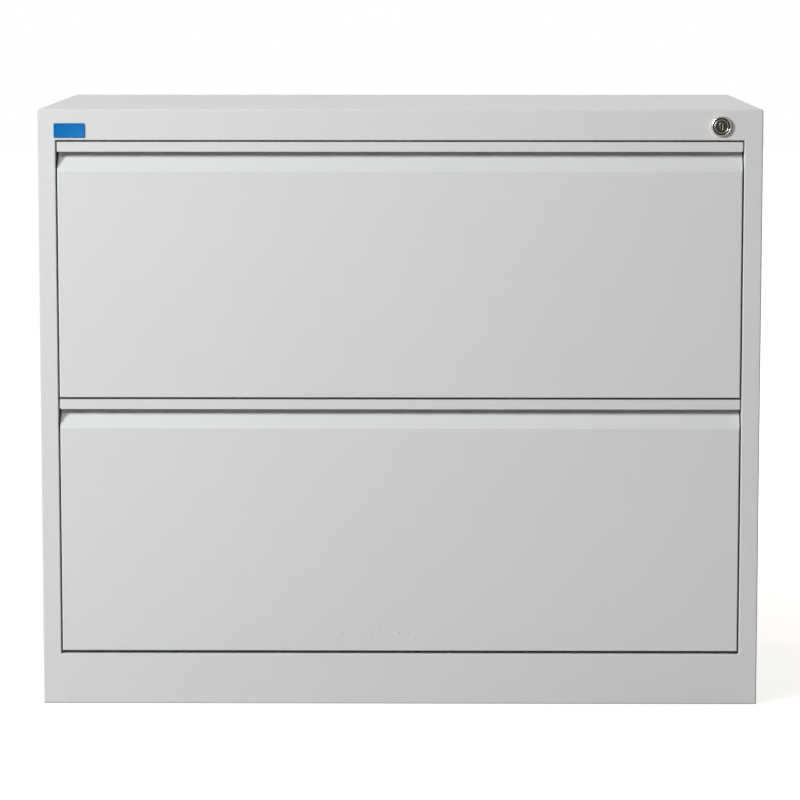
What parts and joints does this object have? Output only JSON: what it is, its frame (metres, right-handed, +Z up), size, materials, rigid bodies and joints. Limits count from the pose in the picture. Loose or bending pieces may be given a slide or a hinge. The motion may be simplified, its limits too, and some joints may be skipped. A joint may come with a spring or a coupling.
{
  "type": "lateral filing cabinet",
  "caption": "Wide, low steel filing cabinet whose stacked drawers run on telescopic slides, with folded finger grips and a cam lock at the top right.",
  "frame": {"origin": "on the floor under the middle of the cabinet", "axes": "+Z up, the drawers open towards -Y, +X to the right of someone facing the front"},
  "size_m": [0.9, 0.454, 0.75],
  "materials": {
    "case_coat": "light grey powder coat, fine texture",
    "drawer_coat": "light grey powder coat, fine texture",
    "slide_zinc": "bright zinc plated",
    "zinc_steel": "zinc plated",
    "lock_nickel": "polished nickel",
    "lock_plug_dark": "dark satin",
    "guide_plastic": "natural nylon",
    "black_rubber": "matt",
    "ballast_iron": "black primer"
  },
  "bodies": {
    "cabinet": {"back_panel": "case_coat", "ballast_plate": "ballast_iron", "base_pan": "case_coat", "cross_rail": "case_coat", "drawer_bumpers": "black_rubber", "foot_channel_left": "case_coat", "foot_channel_right": "case_coat", "front_frame": "case_coat", "left_side_panel": "case_coat", "lock_bar_guide_lower": "guide_plastic", "lock_bar_guide_upper": "guide_plastic", "lock_housing": "lock_nickel", "lock_nut": "zinc_steel", "right_side_panel": "case_coat", "slide_outer_lower_left": "slide_zinc", "slide_outer_lower_right": "slide_zinc", "slide_outer_upper_left": "slide_zinc", "slide_outer_upper_right": "slide_zinc", "top_panel": "case_coat", "upright_front_left": "case_coat", "upright_front_right": "case_coat", "upright_rear_left": "case_coat", "upright_rear_right": "case_coat"},
    "lower_drawer": {"lower_drawer_liner": "drawer_coat", "lower_drawer_skin": "drawer_coat", "lower_file_bar_front": "drawer_coat", "lower_file_bar_rear": "drawer_coat", "lower_lock_catch": "zinc_steel", "lower_tray_back": "drawer_coat", "lower_tray_floor": "drawer_coat", "lower_tray_wall_left": "drawer_coat", "lower_tray_wall_right": "drawer_coat", "slide_inner_lower_left": "slide_zinc", "slide_inner_lower_right": "slide_zinc"},
    "middle_slide_lower_left": {"slide_middle_lower_left": "slide_zinc"},
    "middle_slide_lower_right": {"slide_middle_lower_right": "slide_zinc"},
    "upper_drawer": {"slide_inner_upper_left": "slide_zinc", "slide_inner_upper_right": "slide_zinc", "upper_drawer_liner": "drawer_coat", "upper_drawer_skin": "drawer_coat", "upper_file_bar_front": "drawer_coat", "upper_file_bar_rear": "drawer_coat", "upper_lock_catch": "zinc_steel", "upper_tray_back": "drawer_coat", "upper_tray_floor": "drawer_coat", "upper_tray_wall_left": "drawer_coat", "upper_tray_wall_right": "drawer_coat"},
    "middle_slide_upper_left": {"slide_middle_upper_left": "slide_zinc"},
    "middle_slide_upper_right": {"slide_middle_upper_right": "slide_zinc"},
    "lock_cylinder": {"lock_plug": "lock_plug_dark", "lock_cam": "zinc_steel"},
    "lock_bar": {"lock_bar": "zinc_steel"},
    "levelling_foot_front_left": {"levelling_foot_front_left": "zinc_steel"},
    "levelling_foot_front_right": {"levelling_foot_front_right": "zinc_steel"},
    "levelling_foot_rear_left": {"levelling_foot_rear_left": "zinc_steel"},
    "levelling_foot_rear_right": {"levelling_foot_rear_right": "zinc_steel"}
  },
  "joints": [
    {"name": "lower_drawer_travel", "type": "slide", "parent": "cabinet", "child": "lower_drawer", "axis": [0, -1, 0], "range_m": [0, 0.385]},
    {"name": "middle_slide_lower_left_travel", "type": "slide", "parent": "cabinet", "child": "middle_slide_lower_left", "axis": [0, -1, 0], "range_m": [0, 0.1925]},
    {"name": "middle_slide_lower_right_travel", "type": "slide", "parent": "cabinet", "child": "middle_slide_lower_right", "axis": [0, -1, 0], "range_m": [0, 0.1925]},
    {"name": "upper_drawer_travel", "type": "slide", "parent": "cabinet", "child": "upper_drawer", "axis": [0, -1, 0], "range_m": [0, 0.385]},
    {"name": "middle_slide_upper_left_travel", "type": "slide", "parent": "cabinet", "child": "middle_slide_upper_left", "axis": [0, -1, 0], "range_m": [0, 0.1925]},
    {"name": "middle_slide_upper_right_travel", "type": "slide", "parent": "cabinet", "child": "middle_slide_upper_right", "axis": [0, -1, 0], "range_m": [0, 0.1925]},
    {"name": "lock_turn", "type": "hinge", "parent": "cabinet", "child": "lock_cylinder", "pos_m": [0.3978, -0.225, 0.729], "axis": [0, 1, 0], "range_deg": [0, 90]},
    {"name": "lock_bar_travel", "type": "slide", "parent": "cabinet", "child": "lock_bar", "axis": [0, 0, -1], "range_m": [0, 0.01273]},
    {"name": "levelling_foot_front_left_turn", "type": "hinge", "parent": "cabinet", "child": "levelling_foot_front_left", "pos_m": [-0.417, -0.175, 0.02], "axis": [0, 0, 1], "continuous": true},
    {"name": "levelling_foot_front_right_turn", "type": "hinge", "parent": "cabinet", "child": "levelling_foot_front_right", "pos_m": [0.417, -0.175, 0.02], "axis": [0, 0, 1], "continuous": true},
    {"name": "levelling_foot_rear_left_turn", "type": "hinge", "parent": "cabinet", "child": "levelling_foot_rear_left", "pos_m": [-0.417, 0.175, 0.02], "axis": [0, 0, 1], "continuous": true},
    {"name": "levelling_foot_rear_right_turn", "type": "hinge", "parent": "cabinet", "child": "levelling_foot_rear_right", "pos_m": [0.417, 0.175, 0.02], "axis": [0, 0, 1], "continuous": true}
  ],
  "couplings": [
    {"joint": "middle_slide_lower_left_travel", "follows": "lower_drawer_travel", "ratio": 0.5},
    {"joint": "middle_slide_lower_right_travel", "follows": "lower_drawer_travel", "ratio": 0.5},
    {"joint": "middle_slide_upper_left_travel", "follows": "upper_drawer_travel", "ratio": 0.5},
    {"joint": "middle_slide_upper_right_travel", "follows": "upper_drawer_travel", "ratio": 0.5},
    {"joint": "lock_turn", "follows": "lock_bar_travel", "rad_per_m": 123.41}
  ]
}
